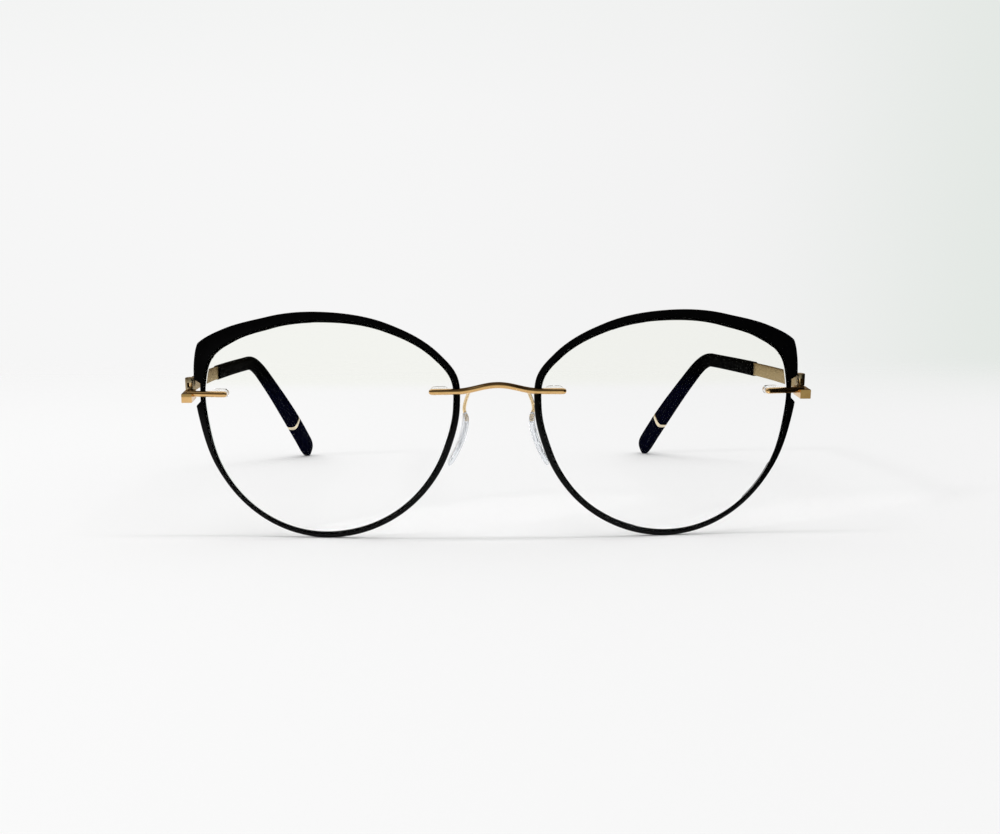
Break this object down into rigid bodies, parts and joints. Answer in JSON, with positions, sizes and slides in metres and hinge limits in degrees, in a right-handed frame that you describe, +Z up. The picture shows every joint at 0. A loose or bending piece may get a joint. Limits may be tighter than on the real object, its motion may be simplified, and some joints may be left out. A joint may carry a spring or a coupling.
{
  "type": "eyeglass frame",
  "caption": "Eyeglass frame with rounded black rings swept up at the outer corners, clear lenses, gold bridge, nose pads on wires and folding gold temples with black tips.",
  "frame": {"origin": "on the table under the middle of the part, between the lenses and the temple tips", "axes": "+X towards the wearer's left, +Y back along the temples, +Z up from the table"},
  "size_m": [0.138, 0.144, 0.0485],
  "materials": {
    "clear_lens": "clear polished plastic",
    "black_ring": "near black, slightly glossy",
    "gold_bar": "polished warm gold plating",
    "gold_wire": "polished gold plating",
    "gold_pin": "polished gold plating",
    "clear_pad": "translucent soft plastic",
    "clear_sleeve": "clear plastic",
    "gold_strip": "satin gold plating",
    "black_sleeve": "satin black",
    "pale_band": "polished pale gold plating"
  },
  "bodies": {
    "front": {"lens_right": "clear_lens", "lens_left": "clear_lens", "rim_right": "black_ring", "rim_left": "black_ring", "bridge": "gold_bar", "pad_arm_right": "gold_wire", "pad_arm_left": "gold_wire", "nose_pad_right": "clear_pad", "nose_pad_left": "clear_pad", "bridge_sleeve_right": "clear_sleeve", "bridge_sleeve_left": "clear_sleeve", "endpiece_right": "gold_bar", "endpiece_left": "gold_bar", "endpiece_sleeve_right": "clear_sleeve", "endpiece_sleeve_left": "clear_sleeve", "hinge_pin_right": "gold_pin", "hinge_pin_left": "gold_pin"},
    "temple_right": {"temple_right": "gold_strip", "temple_sleeve_right": "black_sleeve", "temple_band_right": "pale_band", "temple_tip_right": "black_sleeve"},
    "temple_left": {"temple_left": "gold_strip", "temple_sleeve_left": "black_sleeve", "temple_band_left": "pale_band", "temple_tip_left": "black_sleeve"}
  },
  "joints": [
    {"name": "fold_right", "type": "hinge", "parent": "front", "child": "temple_right", "pos_m": [-0.0656, -0.05967, 0.03184], "axis": [0, 0.1045, -0.9945], "range_deg": [0, 82]},
    {"name": "fold_left", "type": "hinge", "parent": "front", "child": "temple_left", "pos_m": [0.0656, -0.05967, 0.03184], "axis": [0, -0.1045, 0.9945], "range_deg": [0, 86]}
  ]
}
